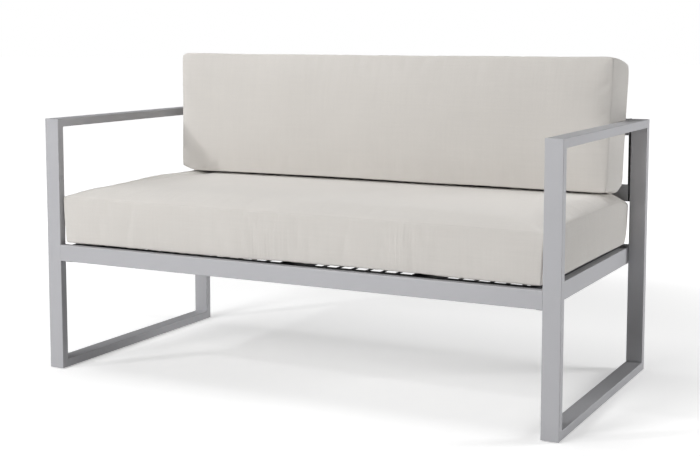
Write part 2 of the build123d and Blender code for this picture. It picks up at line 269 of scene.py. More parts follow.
def make_plain_weave():
    """Yarns over and under each other: height is the higher of two crossed rows of round threads."""
    group, given, outside = new_group(
        "plain_weave", "ShaderNodeTree",
        [("Flat Map", "Vector", None), ("Yarns", "Float", 1400.0), ("Slub Scale", "Float", 210.0)],
        [("Height", "Float"), ("Thread Tone", "Float")])
    turn = new_node(group, "ShaderNodeVectorMath", (1, 0), operation="SCALE", in_0=given["Flat Map"],
                    in_Scale=given["Yarns"])
    parts = new_node(group, "ShaderNodeSeparateXYZ", (2, 0), in_0=turn).outputs
    rows = []
    for row, (across, along) in enumerate((("X", "Y"), ("Y", "X"))):
        thread = maths(group, "MULTIPLY", (3, row * 2), parts[across], math.pi)
        bend = maths(group, "MULTIPLY", (3, row * 2 + 1), parts[along], math.pi)
        round_thread = maths(group, "SINE", (4, row * 2), thread)
        bend_wave = maths(group, "COSINE", (4, row * 2 + 1), bend)
        size = maths(group, "ABSOLUTE", (5, row * 2), round_thread)
        side = maths(group, "MULTIPLY", (5, row * 2 + 1), round_thread, bend_wave)
        rows.append(maths(group, "MULTIPLY_ADD", (6, row * 2), side, 0.5, size))
    tones = []
    for row, squeeze in enumerate(((1, 0.03, 1), (0.03, 1, 1))):
        flat = new_node(group, "ShaderNodeVectorMath", (2, 5 + row), operation="MULTIPLY",
                        in_0=given["Flat Map"], in_1=squeeze)
        tones.append(new_node(group, "ShaderNodeTexNoise", (3, 5 + row), in_Vector=flat,
                              in_Scale=given["Slub Scale"], in_Detail=4.0, in_Roughness=0.7))
    set_values(group, outside, in_Height=maths(group, "MAXIMUM", (7, 0), *rows),
               in_Thread_Tone=maths(group, "ADD", (5, 5), *tones))
    return group


slow_variation = make_slow_variation()
powder_pebble = make_powder_pebble()
plain_weave = make_plain_weave()
print("shader groups:", slow_variation.name, powder_pebble.name, plain_weave.name)

# %% [markdown]
# ## The finishes
#
# The tube is powder coated aluminium. The coat is a satin silver paint with only a little metal in it, and
# its highlight is soft. The cover is a plain woven outdoor cloth, warm light grey, quite matt, with a faint
# sheen at grazing angles where fibre ends catch the light.

# %% Material helpers
def start_material(name, **plain):
    """A material, its node tree and its Principled surface with the plain inputs set."""
    material = bpy.data.materials.new(name)
    tree = empty_tree(material)
    surface = new_node(tree, "ShaderNodeBsdfPrincipled", (7, 0), **plain)
    new_node(tree, "ShaderNodeOutputMaterial", (9, 0), in_0=surface)
    return material, tree, surface


def slow_patches(tree, scale, spread):
    """The object's own coordinates and the slow variation at them."""
    place = new_node(tree, "ShaderNodeTexCoord", (0, 1)).outputs["Object"]
    slow = new_node(tree, "ShaderNodeGroup", (2, 0), node_tree=slow_variation, in_Place=place,
                    in_Scale=scale, in_Spread=spread)
    return place, slow


def dress(tree, surface, colour, tone, height, depth, strength, **others):
    """Gives the surface its colour times a tone, the bumps of a height, and its other inputs."""
    tint = new_node(tree, "ShaderNodeVectorMath", (6, 0), operation="SCALE", in_0=colour, in_Scale=tone)
    bump = new_node(tree, "ShaderNodeBump", (6, 2), in_Distance=depth, in_Strength=strength, in_Height=height)
    set_values(tree, surface, in_Base_Color=tint, in_Normal=bump, **others)


# %% Metal and plastic finishes
turned_metal = {"metallic": 1.0, "patches": (40.0, 0.3), "grain": (1800.0, 2.0), "depth": 0.02 * MM}
moulded_nylon = {"metallic": 0.0, "patches": (60.0, 0.25), "grain": (1400.0, 3.0), "depth": 0.05 * MM}


def powder_coat(name, colour, metallic, roughness, shine_level):
    """Satin powder coat: an even tone, a soft highlight, fine pebble and a trace of flake."""
    material, tree, surface = start_material(name, in_Specular_IOR_Level=shine_level)
    place, slow = slow_patches(tree, 4.0, 0.07)
    pebble = new_node(tree, "ShaderNodeGroup", (2, 1), node_tree=powder_pebble, in_Place=place)
    flake = new_node(tree, "ShaderNodeMapRange", (3, 1), in_0=pebble.outputs["Flake"], in_3=0.97, in_4=1.03)
    tone = maths(tree, "MULTIPLY", (4, 0), slow, flake)
    dress(tree, surface, colour, tone, pebble.outputs["Height"], 0.06 * MM, 0.5,
          in_Roughness=maths(tree, "MULTIPLY", (4, 1), slow, roughness),
          in_Metallic=maths(tree, "MULTIPLY", (4, 2), flake, metallic))
    return material


def grained(name, colour, roughness, kind):
    """Bare metal or moulded plastic: slow patches in tone and gloss, and a fine grain."""
    material, tree, surface = start_material(name, in_Metallic=kind["metallic"])
    place, slow = slow_patches(tree, *kind["patches"])
    scale, detail = kind["grain"]
    fine = new_node(tree, "ShaderNodeTexNoise", (2, 1), in_Vector=place, in_Scale=scale, in_Detail=detail)
    dress(tree, surface, colour, slow, fine, kind["depth"], 0.5,
          in_Roughness=maths(tree, "MULTIPLY", (4, 1), slow, roughness))
    return material


# %% Cloth and foam finishes
flat_map_name = "flat_map"
gather_name = "gather"
gather_stretch = (150, 9, 1)
gather_height = 12.0


def woven_cloth(name, colour, yarns_per_metre, slub):
    """Plain woven cloth: threads with painted shade between them, slow tone, fine gathers where it was eased
    in, and a soft sheen.
    """
    material, tree, surface = start_material(
        name, in_Sheen_Weight=0.22, in_Sheen_Roughness=0.5, in_Sheen_Tint=(1.0, 0.98, 0.95, 1),
        in_Specular_IOR_Level=0.25, in_Diffuse_Roughness=0.6)
    flat = new_node(tree, "ShaderNodeUVMap", (0, 0), uv_map=flat_map_name)
    slow = slow_patches(tree, 7.0, 0.06)[1]
    weave = new_node(tree, "ShaderNodeGroup", (2, 2), node_tree=plain_weave, in_Flat_Map=flat,
                     in_Yarns=yarns_per_metre).outputs
    yarn = new_node(tree, "ShaderNodeMapRange", (3, 0), in_0=weave["Thread Tone"], in_1=0.7, in_2=1.3,
                    in_3=1 - slub, in_4=1 + slub)
    # Painted shade: the colour is darker where the weave is low, in the hollows between the yarns.
    thread = new_node(tree, "ShaderNodeMapRange", (3, 2), in_0=weave["Height"], in_3=0.90, in_4=1.03)
    tone = maths(tree, "MULTIPLY", (4, 0), yarn, slow)
    gather = new_node(tree, "ShaderNodeAttribute", (1, 4), attribute_name=gather_name).outputs["Fac"]
    stretched = new_node(tree, "ShaderNodeVectorMath", (1, 5), operation="MULTIPLY", in_0=flat,
                         in_1=gather_stretch)
    folds = new_node(tree, "ShaderNodeTexNoise", (2, 5), in_Vector=stretched, in_Scale=1.0, in_Detail=1.0)
    fold_height = maths(tree, "MULTIPLY", (3, 4), gather, folds)
    height = maths(tree, "MULTIPLY_ADD", (4, 4), fold_height, gather_height, weave["Height"])
    dress(tree, surface, colour, maths(tree, "MULTIPLY", (5, 1), tone, thread), height, 0.22 * MM, 0.6,
          in_Roughness=maths(tree, "MULTIPLY", (5, 2), slow, 0.86))
    return material


def open_cell_foam(name, colour):
    """Matt foam with small open cells."""
    material, tree, surface = start_material(name, in_Roughness=0.95)
    place, slow = slow_patches(tree, 9.0, 0.1)
    cells = new_node(tree, "ShaderNodeTexVoronoi", (2, 1), in_Vector=place, in_Scale=700.0)
    dress(tree, surface, colour, slow, cells.outputs["Distance"], 0.6 * MM, 0.8)
    return material


silver_coat = powder_coat("silver_coat", (0.485, 0.485, 0.505), 0.14, 0.48, 0.4)
# The near-black coat of the deck parts and the back plates is painted shade: it stands for the deep shade
# under the seat cushion and beside the rear posts.
shade_black_coat = powder_coat("shade_black_coat", (0.022, 0.022, 0.024), 0.05, 0.5, 0.25)
screw_steel = grained("screw_steel", (0.56, 0.56, 0.57), 0.32, turned_metal)
mill_aluminium = grained("mill_aluminium", (0.62, 0.62, 0.63), 0.42, turned_metal)
glide_nylon = grained("glide_nylon", (0.045, 0.045, 0.047), 0.55, moulded_nylon)
cover_cloth = woven_cloth("cover_cloth", (0.74, 0.715, 0.682), 1350.0, 0.022)
zip_cloth = woven_cloth("zip_cloth", (0.60, 0.58, 0.55), 1800.0, 0.02)
zip_nylon = grained("zip_nylon", (0.50, 0.485, 0.46), 0.55, moulded_nylon)
seam_thread = grained("seam_thread", (0.58, 0.555, 0.525), 0.55, moulded_nylon)
cushion_foam = open_cell_foam("cushion_foam", (0.80, 0.76, 0.62))

# %% Finishes on the imported pieces
# deck_paint takes the near-black coat, which is painted shade under the cushion and beside the rear posts.
slot_finish = {"frame_paint": silver_coat, "deck_paint": shade_black_coat, "screw_steel": screw_steel,
               "spigot_metal": mill_aluminium, "glide_plastic": glide_nylon, "cover_fabric": cover_cloth,
               "cushion_foam": cushion_foam}
for part in frame["record"]["subparts"]:
    node = frame["nodes"][part["node"]]
    node.data.materials.clear()
    node.data.materials.append(slot_finish[part["material_slot"]])
print("finished", len(frame["nodes"]), "packed pieces")

# %% [markdown]
# ## The form of a boxed cushion
#
# A boxed cushion is two panels and a long strip, the boxing, that joins them all round. The two seams hold
# the outline. Between them the foam pushes the cloth out: each panel rises in a quick roll at its edge and
# then in a long shallow arch, and the sides pull in a little between the corners. The mesh is laid out like
# the cut cloth, panel by panel, with closer rows beside the seams, and every point keeps its place in the
# flat cut as a map for the weave.

# %% Rows and columns of a panel
seam_rows = (0, 2.5 * MM, 6 * MM, 12 * MM, 20 * MM)
cloth_step = 9.5 * MM
seam_corner_reach, end_draw = 10 * MM, 1 * MM


def graded_places(length):
    """Distances along a side, close together at both seams and even between them."""
    near = [d for d in seam_rows if d < length / 2.5]
    inner = length - 2 * near[-1]
    count = max(1, round(inner / cloth_step))
    middle = [near[-1] + inner * i / count for i in range(1, count)]
    return near + middle + [length - d for d in reversed(near)]


def roll_share(distance, length, roll, shoulder_share):
    """How far up the crown the cloth is at a distance from one seam: a round edge, then a shallow arch."""
    edge = min(distance, length - distance)
    if edge < roll:
        return shoulder_share * math.sqrt(1 - (1 - edge / roll) ** 2)
    from_middle = (length / 2 - edge) / (length / 2 - roll)
    return shoulder_share + (1 - shoulder_share) * (1 - from_middle**2)


# %% The cut of one cushion
class CushionForm:
    """Grid points of a boxed cushion from its four seam corners in Y and Z."""

    def __init__(self, name, half_width, face_start, face_end, far_start, far_end, **sizes):
        self.name = name
        self.half_width = half_width
        self.face = (np.array(face_start), np.array(face_end))
        self.far = (np.array(far_start), np.array(far_end))
        self.sizes = sizes
        vars(self).update(sizes)
        run = self.face[1] - self.face[0]
        self.length = float(np.linalg.norm(run))
        self.along = run / self.length
        self.normal = np.array((-self.along[1], self.along[0]))
        self.across_places = graded_places(2 * half_width)
        self.along_places = graded_places(self.length)
        depth = float(np.linalg.norm(self.far[0] - self.face[0]))
        self.depth_places = graded_places(depth)
        self.depth = depth

    def seam_point(self, across, share, depth_share):
        """A point of the box between the panels, drawn in between its corners."""
        x = across - self.half_width
        near = self.face[0] + (self.face[1] - self.face[0]) * share
        far = self.far[0] + (self.far[1] - self.far[0]) * share
        y, z = near + (far - near) * depth_share
        to_end = self.half_width - abs(x)
        to_side = min(share, 1 - share) * self.length
        corner = math.exp(-(to_end + to_side) / seam_corner_reach) * self.corner_round
        side_pull = math.cos(math.pi / 2 * x / self.half_width) * self.side_draw * (0.5 - share) * 2
        y, z = np.array((y, z)) + self.along * (side_pull + math.copysign(corner, 0.5 - share))
        x *= 1 - end_draw / self.half_width * math.sin(math.pi * share)
        x -= math.copysign(corner, x)
        x += self.left_taper * (1 - share) * max(0, -x / self.half_width)
        return Vector((x + self.shift, y, z))

    def panel_point(self, across, along, is_face):
        """A point of a crowned panel."""
        share = along / self.length
        base = self.seam_point(across, share, 0 if is_face else 1)
        crown = self.face_crown if is_face else self.far_crown
        roll = self.face_roll if is_face else self.far_roll
        height = crown * roll_share(across, 2 * self.half_width, roll, self.shoulder_share)
        height *= roll_share(along, self.length, roll, self.shoulder_share)
        y, z = self.normal * height * (1 if is_face else -1)
        return base + Vector((0, y, z))

    def boxing_point(self, ring_place, depth):
        """A point of the boxing: along the ring of four sides, and down from the face seam."""
        across, along, out_x, out_along = ring_place
        base = self.seam_point(across, along / self.length, depth / self.depth)
        bulge = self.boxing_bulge * math.sin(math.pi * depth / self.depth)
        y, z = self.along * out_along * bulge * (self.foot_share if out_along < 0 else 1)
        return base + Vector((out_x * bulge * self.end_share, y, z))

    def ring(self):
        """Grid corners of the seam ring, anticlockwise from the first corner, with the way out of each."""
        last_i, last_j = len(self.across_places) - 1, len(self.along_places) - 1
        ring = [(i, 0) for i in range(last_i)]
        ring += [(last_i, j) for j in range(last_j)]
        ring += [(i, last_j) for i in range(last_i, 0, -1)]
        ring += [(0, j) for j in range(last_j, 0, -1)]
        places = []
        for i, j in ring:
            out_x = float(i == last_i) - float(i == 0)
            out_along = float(j == last_j) - float(j == 0)
            size = math.hypot(out_x, out_along)
            place = (self.across_places[i], self.along_places[j], out_x / size, out_along / size)
            places.append((i, j, place))
        return places


def build_cushion_mesh(form):
    """The closed cloth of a cushion. Returns the object and the vertex numbers of its parts."""
    columns, rows = len(form.across_places), len(form.along_places)
    points, index = [], {}
    for face_name, is_face in (("face", True), ("far", False)):
        for j, along in enumerate(form.along_places):
            for i, across in enumerate(form.across_places):
                index[face_name, i, j] = len(points)
                points.append(form.panel_point(across, along, is_face))
    ring = form.ring()
    depth_rows = len(form.depth_places)
    for step, (i, j, place) in enumerate(ring):
        index["boxing", step, 0] = index["face", i, j]
        index["boxing", step, depth_rows - 1] = index["far", i, j]
        for k in range(1, depth_rows - 1):
            index["boxing", step, k] = len(points)
            points.append(form.boxing_point(place, form.depth_places[k]))
    faces, flat = [], []
    gap = 2 * form.depth
    for face_name, offset in (("face", 0), ("far", form.length + gap)):
        for j in range(rows - 1):
            for i in range(columns - 1):
                quad = [(i, j), (i + 1, j), (i + 1, j + 1), (i, j + 1)]
                faces.append([index[face_name, a, b] for a, b in quad])
                flat.append([(form.across_places[a], form.along_places[b] + offset) for a, b in quad])
    run = [0.0]
    for step in range(len(ring)):
        a = points[index["boxing", step, 0]]
        b = points[index["boxing", (step + 1) % len(ring), 0]]
        run.append(run[-1] + (a - b).length)
    for step in range(len(ring)):
        after = (step + 1) % len(ring)
        for k in range(depth_rows - 1):
            quad = [(step, k), (step, k + 1), (after, k + 1), (after, k)]
            faces.append([index["boxing", a, b] for a, b in quad])
            flat.append([(run[step + (a != step)], -form.depth_places[b]) for a, b in quad])
    piece = add_mesh(form.name, points, [], faces)
    layer = piece.data.uv_layers.new(name=flat_map_name)
    layer.data.foreach_set("uv", np.array(flat).ravel())
    cleaner = bmesh.new()
    cleaner.from_mesh(piece.data)
    bmesh.ops.recalc_face_normals(cleaner, faces=cleaner.faces)
    cleaner.to_mesh(piece.data)
    cleaner.free()
    seams = {name: [index[name, i, j] for i, j, _ in ring] for name in ("face", "far")}
    return piece, index, seams


# %% [markdown]
# ## Sewing and filling
#
# The cloth simulation does what happens on the real cushion: the seams hold the outline, the filling presses
# outwards, and the panels are cut a trace larger than the seams, so cloth gathers into small puckers along
# them. The extra cloth is not even. It is strongest beside the seams and in a few patches of the boxing,
# where the strip was eased in. Afterwards a point may only have moved a little from the drawn form, and
# nothing may sink into the deck, the rail or the other cushion. The finest gathers are bumps of the finish,
# which a point attribute puts in the same patches.

# %% Values of the simulation
cloth_frames = 20
seam_sink = 1.1 * MM
deck_clearance = 0.4 * MM
limit_between_legs = 619.4 * MM
ease_growth = 0.008
cloth_values = {
    "quality": 7, "mass": 0.25, "air_damping": 2.0, "tension_stiffness": 25, "compression_stiffness": 25,
    "shear_stiffness": 12, "bending_stiffness": 0.12, "bending_damping": 1.0, "use_pressure": True,
    "uniform_pressure_force": 3.0, "vertex_group_mass": "pins", "pin_stiffness": 1.0,
    "vertex_group_shrink": "cut", "shrink_min": -ease_growth, "shrink_max": 0.0}
ease_reach = 75 * MM
ease_patches = 4.1
ease_even_share, ease_patch_share = 0.45, 0.55
boxing_patches_across, boxing_patches_deep = 5.3, 3.1
boxing_seed_step, boxing_contrast = 7.7, 1.3
boxing_share, gathered_share = 0.4, 0.25
gathered_depth = 20 * MM
sway_waves, sway_seed_step = 6.0, 3
wide_waves, near_waves = 4.0, 13.0
wide_wander, near_wander = 1.6 * MM, 0.35 * MM


def smooth_share(value):
    """0 below 0, 1 above 1, with a smooth rise between."""
    value = min(max(value, 0.0), 1.0)
    return value * value * (3 - 2 * value)


def panel_ease(form, across, along):
    """How full the cloth is cut at a point of a panel, from 0 to 1: most beside the seams."""
    edge = min(across, 2 * form.half_width - across, along, form.length - along)
    patch = 0.5 + 0.5 * noise.noise(Vector((across * ease_patches, along * ease_patches, form.seed)))
    return (1 - smooth_share(edge / ease_reach)) * (ease_even_share + ease_patch_share * patch)


def boxing_ease(form, point):
    """How full the boxing is cut: a little everywhere, and most where the strip was gathered at the front."""
    x, y = point.x * boxing_patches_across, point.y * boxing_patches_deep
    patch = noise.noise(Vector((x, y, form.seed + boxing_seed_step)))
    eased = boxing_share * smooth_share(0.5 + boxing_contrast * patch)
    return eased + gathered_share * gathered(form, point)


def gathered(form, point):
    """Where the strip was gathered at the front, from 0 to 1."""
    if point[1] > form.face[0][0] + gathered_depth:
        return 0.0
    return sum(math.exp(-(((point[0] - middle) / width) ** 2)) for middle, width in form.gathers)


def lay_seams_unevenly(form, piece, seams):
    """A sewn edge is never ruler straight: each seam wanders by about a millimetre."""
    points = piece.data.vertices
    for offset, ring in enumerate(seams.values()):
        for number in ring:
            place = points[number].co
            seed = form.seed + sway_seed_step * offset
            sway = noise.noise_vector(place * sway_waves + Vector((0, 0, seed)))
            points[number].co = place + sway * form.seam_sway


def fill_with_cloth(form, piece, index, seam_numbers):
    """Runs the cloth simulation on the cut form and returns the filled points."""
    start = np.array([v.co for v in piece.data.vertices])
    full_cut = np.zeros(len(start))
    for (kind, i, j), number in index.items():
        if kind == "boxing":
            full_cut[number] = max(full_cut[number], boxing_ease(form, Vector(start[number])))
        else:
            full_cut[number] = panel_ease(form, form.across_places[i], form.along_places[j])
    pins = piece.vertex_groups.new(name="pins")
    pins.add(seam_numbers, 1.0, "REPLACE")
    cut = piece.vertex_groups.new(name="cut")
    for number, value in enumerate(full_cut):
        cut.add([number], 1.0 - float(value), "REPLACE")
    cloth = piece.modifiers.new("cloth", "CLOTH")
    settings = cloth.settings
    for name, value in cloth_values.items():
        setattr(settings, name, value)
    settings.effector_weights.gravity = 0
    cloth.collision_settings.use_collision = False
    cloth.point_cache.frame_start, cloth.point_cache.frame_end = 1, cloth_frames
    scene = bpy.context.scene
    scene.frame_start, scene.frame_end = 1, cloth_frames
    for number in range(1, cloth_frames + 1):
        scene.frame_set(number)
    ready = piece.evaluated_get(bpy.context.evaluated_depsgraph_get())
    filled = np.array([v.co for v in ready.data.vertices])
    piece.modifiers.remove(cloth)
    piece.vertex_groups.clear()
    scene.frame_set(1)
    moved = filled - start
    size = np.linalg.norm(moved, axis=1, keepdims=True) + 1e-9
    cap = form.cap
    print(form.name, "cloth moved up to", round(float(size.max()) / MM, 1), "mm, mean",
          round(float(size.mean()) / MM, 2), "mm")
    return start + moved / size * cap * np.tanh(size / cap)


def wander(form, points, normals):
    """Slow unevenness of the filling, as a push along the surface normal."""
    pushed = points.copy()
    for number, (point, normal) in enumerate(zip(points, normals)):
        wide = noise.noise(Vector(point) * wide_waves + Vector((form.seed, 0, 0)))
        near = noise.noise(Vector(point) * near_waves + Vector((0, form.seed, 0)))
        pushed[number] += normal * (wide * wide_wander + near * near_wander)
    return pushed


def point_normals(piece):
    """The outward way at each point of a mesh."""
    piece.data.update()
    normals = np.empty(len(piece.data.vertices) * 3)
    piece.data.vertex_normals.foreach_get("vector", normals)
    return normals.reshape(-1, 3)


def write_points(piece, points):
    """Moves the points of a mesh."""
    piece.data.vertices.foreach_set("co", points.ravel())
    piece.data.update()


def finish_cushion(form, shaping):
    """Cuts, fills, shapes and smooths one cushion. Returns the piece and its seam rings."""
    piece, index, seams = build_cushion_mesh(form)
    seam_numbers = sorted(set(seams["face"]) | set(seams["far"]))
    lay_seams_unevenly(form, piece, seams)
    write_points(piece, fill_with_cloth(form, piece, index, seam_numbers))
    points = np.array([v.co for v in piece.data.vertices])
    normals = point_normals(piece)
    points = wander(form, points, normals)
    points[seam_numbers] -= normals[seam_numbers] * seam_sink
    points = shaping(points)
    write_points(piece, points)
    gather = piece.data.attributes.new(gather_name, "FLOAT", "POINT")
    gather.data.foreach_set("value", [gathered(form, point) for point in points])
    smooth = piece.modifiers.new("smooth", "SUBSURF")
    smooth.levels = smooth.render_levels = 1
    smooth.uv_smooth = "PRESERVE_BOUNDARIES"
    ready = take_result(piece, smooth)
    ready.materials.clear()
    ready.materials.append(cover_cloth)
    print(form.name, "faces", len(ready.polygons))
    return piece, {name: points[ring] for name, ring in seams.items()}


# %% [markdown]
# ## The seat cushion
#
# The seat cushion fills the deck between the legs. Its lower seam hangs a finger's breadth above the front
# rail, and a little lower towards both ends, so the deck shows as a row of small openings below it. Its
# underside is flat where it rests on the bars. Near its left end the cover is a little wide for its foam,
# which leaves a soft hollow beside the edge.

# %% Seat cushion
deck_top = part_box("left_inner_grid")[1][2]
seat_half_width = 618.5 * MM
seat_front, seat_rear = -318 * MM, 305 * MM
seat_rear_limit = seat_rear + 3.5 * MM
seat_low_seam, seat_high_seam = deck_top + 9 * MM, deck_top + 118 * MM
hollow_from_end, hollow_turn = 42 * MM, 0.14
hollow_width, hollow_depth = 15 * MM, 6.5 * MM
hollow_fade = (seat_front + 50 * MM, seat_front + 180 * MM)
front_sag, sag_left, sag_right = 3.3 * MM, (-30 * MM, 130 * MM), (330 * MM, 400 * MM)
sag_right_share = 0.5
side_sag, side_sag_x, side_sag_y = 3.6 * MM, (450 * MM, 560 * MM), (-260 * MM, -150 * MM)
flat_level, flat_fall, level_turn = 25 * MM, 3 * MM, 2 * MM
flat_fall_y = (0, 130 * MM)
end_lift, end_lift_reach, end_lift_y = 0.6, 70 * MM, (-200 * MM, 120 * MM)
corner_drop, corner_drop_reach, corner_drop_y = 15 * MM, 90 * MM, (215 * MM, 312 * MM)
corner_pull, corner_pull_reach, corner_pull_y = 14 * MM, 50 * MM, (200 * MM, seat_rear)
foot_tuck, foot_tuck_reach = 7 * MM, 40 * MM
side_tuck, tuck_x = 4 * MM, (500 * MM, 600 * MM)

seat_form = CushionForm(
    "seat_cover", seat_half_width,
    (seat_front, seat_high_seam), (seat_rear, seat_high_seam),
    (seat_front, seat_low_seam), (seat_rear, seat_low_seam),
    seed=2.3, face_crown=19 * MM, far_crown=8.6 * MM, face_roll=34 * MM, far_roll=60 * MM,
    shoulder_share=0.80, boxing_bulge=1.5 * MM, foot_share=1, end_share=0.6, shift=0, left_taper=0,
    side_draw=4 * MM, corner_round=0.5 * MM, gathers=((-45 * MM, 85 * MM), (305 * MM, 40 * MM)),
    seam_sway=1.1 * MM, cap=9 * MM)


def rise_between(values, start, end):
    """Smooth shares of 0 to 1 between two values of an array."""
    share = np.clip((values - start) / (end - start), 0, 1)
    return share * share * (3 - 2 * share)


def shape_seat(points):
    """The hollow at the left, the lower edge that sags, the flat underside and the room beside the legs."""
    x, y, z = points.T
    down_share = np.clip((seat_high_seam - z) / (seat_high_seam - seat_low_seam), 0, 1)
    at_front = np.maximum(rise_between(-x, *sag_left), sag_right_share * rise_between(x, *sag_right))
    at_right = rise_between(x, *side_sag_x) * rise_between(y, *side_sag_y)
    z -= down_share**3 * np.maximum(at_front * front_sag, at_right * side_sag)
    to_end = seat_half_width - np.abs(x)
    over = np.maximum(z - seat_high_seam, 0)
    lift = end_lift * np.exp(-((to_end / end_lift_reach) ** 2)) * rise_between(y, *end_lift_y)
    raised = over * (1 + lift)
    level = flat_level - flat_fall * rise_between(y, *flat_fall_y)
    raised = -level_turn * np.log(np.exp(-raised / level_turn) + np.exp(-level / level_turn))
    z += np.where(over > 0, np.maximum(raised, 0) - over, 0)
    top = z > seat_high_seam
    corner = np.exp(-((to_end / corner_drop_reach) ** 2)) * rise_between(y, *corner_drop_y)
    z -= corner * corner_drop * (1 - down_share)
    pulled = np.exp(-to_end / corner_pull_reach) * rise_between(y, *corner_pull_y)
    y -= pulled * corner_pull * down_share
    hollow_middle = hollow_from_end + (y - seat_front) * hollow_turn
    dip = np.exp(-(((x + seat_half_width - hollow_middle) / hollow_width) ** 2))
    z -= np.where(top, dip * rise_between(y, *hollow_fade) * hollow_depth, 0)
    z[:] = np.maximum(z, deck_top + deck_clearance)
    near_corner = np.exp(-(seat_half_width - np.abs(x) + y - seat_front) / foot_tuck_reach)
    tuck = np.maximum(np.minimum(near_corner, 1) * foot_tuck, down_share**4 * side_tuck)
    x -= np.sign(x) * down_share * tuck * rise_between(np.abs(x), *tuck_x)
    x[:] = np.clip(x, -limit_between_legs, limit_between_legs)
    y[:] = np.minimum(y, seat_rear_limit)
    return points


seat_cover, seat_rings = finish_cushion(seat_form, shape_seat)
seat_skin = surface_of(seat_cover)
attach(seat_cover, "seat_cushion")
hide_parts("seat_cushion_cover")

# %% [markdown]
# ## The back cushion
#
# The back cushion stands on the seat cushion and leans on the top rail by about seven degrees. It is a little
# shorter than the seat and narrows a little towards its lower left corner, which stands off the seat. Its
# front panel is tall and nearly flat, and its underside meets the seat behind a dark slit.

# %% Back cushion
lean = math.radians(7.5)
rail_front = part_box("back_top_rail")[0][1]
rail_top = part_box("back_top_rail")[1][2]
rail_gap, behind_room, rail_limit = 0.3 * MM, 12 * MM, 0.4 * MM
behind_height = 1 * MM
back_half_width = 609 * MM
back_shift = 2 * MM
left_taper = 26 * MM
back_height = 318 * MM
back_thick = 134 * MM
back_foot = seat_high_seam + 27.5 * MM
lean_to_rail = (rail_top - back_foot) * math.tan(lean)
back_front = rail_front - rail_gap - lean_to_rail - (back_thick + behind_room) / math.cos(lean)
back_rear = back_front + back_thick / math.cos(lean)
rear_rise = 2 * MM
top_fall = 20 * MM

back_form = CushionForm(
    "back_cover", back_half_width,
    (back_front, back_foot), (back_front + back_height * math.tan(lean), back_foot + back_height),
    (back_rear + rear_rise * math.tan(lean), back_foot + rear_rise),
    (back_rear + (back_height - top_fall) * math.tan(lean), back_foot + back_height - top_fall),
    seed=8.1, face_crown=12 * MM, far_crown=9 * MM, face_roll=16 * MM, far_roll=30 * MM,
    shoulder_share=0.5, boxing_bulge=4 * MM, foot_share=0.5, end_share=1, shift=back_shift,
    left_taper=left_taper, side_draw=2 * MM, corner_round=2.5 * MM, gathers=(), seam_sway=1.0 * MM,
    cap=8 * MM)
corner_lift, corner_lift_reach, corner_lift_turn = 10 * MM, 45 * MM, 1.4
corner_radius, corner_reach = 14 * MM, 75 * MM
back_top = back_foot + back_height
rest_gap = 0.8 * MM
rest_depth, rest_width, rest_drop = 85 * MM, 30 * MM, 9 * MM
foot_reach = 60 * MM


def shape_back(points):
    """The rounded top corner and lifted foot at the left, the seat below and the rail behind."""
    x, y, z = points.T
    face_y = back_front + (z - back_foot) * math.tan(lean)
    from_corner = np.clip(corner_radius - (x - back_shift + back_half_width), 0, corner_radius)
    round_off = corner_radius - np.sqrt(np.maximum(corner_radius**2 - from_corner**2, 0))
    z -= round_off * rise_between(z, back_top - corner_reach, back_top - top_fall)
    low_share = 1 - rise_between(z, back_foot, back_foot + foot_reach)
    from_left = x - (back_shift - back_half_width + left_taper)
    z += corner_lift * low_share * np.clip(1 - from_left / corner_lift_reach, 0, 1) ** corner_lift_turn
    for point, front, share in zip(points, face_y, low_share):
        if share > 0:
            above = Vector((point[0], point[1], back_foot + back_height / 2))
            below = seat_skin.ray_cast(above, (0, 0, -1))[0]
            if below is not None:
                rest = math.exp(-(((point[1] - front - rest_depth) / rest_width) ** 2)) * share
                drop = min(max(point[2] - below.z - rest_gap, 0), rest_drop)
                point[2] -= drop * rest
                point[2] = max(point[2], below.z + rest_gap)
    behind = z < rail_top + behind_height
    y[:] = np.where(behind, np.minimum(y, rail_front - rail_limit), y)
    return points


back_cover, back_rings = finish_cushion(back_form, shape_back)
back_skin = surface_of(back_cover)
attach(back_cover, "back_cushion")
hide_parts("back_cushion_cover")

# %% [markdown]
# ## Foam cores
#
# Inside each cover is a slab of open cell foam. It never shows, but it is a real piece, so it gets its own
# mesh: the same form, drawn in by the thickness of cover and wrap.

# %% Foam slabs
foam_inset = 7 * MM
foam_less_crown, foam_far_crown = 2 * MM, 6 * MM


def make_foam(name, form, body, replaced):
    """A foam slab inside a cover, from the cover's own form."""
    inward = form.along * foam_inset
    deep = form.normal * foam_inset
    sizes = dict(form.sizes)
    sizes["face_crown"] -= foam_less_crown
    sizes["far_crown"] = min(sizes["far_crown"], foam_far_crown)
    core = CushionForm(name, form.half_width - foam_inset,
                       form.face[0] + inward - deep, form.face[1] - inward - deep,
                       form.far[0] + inward + deep, form.far[1] - inward + deep, **sizes)
    piece = build_cushion_mesh(core)[0]
    piece.data.shade_smooth()
    piece.data.materials.append(cushion_foam)
    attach(piece, body)
    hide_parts(replaced)


make_foam("seat_foam", seat_form, "seat_cushion", "seat_cushion_foam")
make_foam("back_foam", back_form, "back_cushion", "back_cushion_foam")

# %% [markdown]
# ## Rows of small things
#
# Stitches, zip teeth and weld beads are all the same task: a small shape, again and again, along a line that
# lies on a surface. One Geometry Nodes tree does it. It takes a line with an outward direction at each
# point, walks along it in equal steps, sets a shape at each step with its length along the line, and makes
# the result real, because the finished piece has to be a plain mesh.

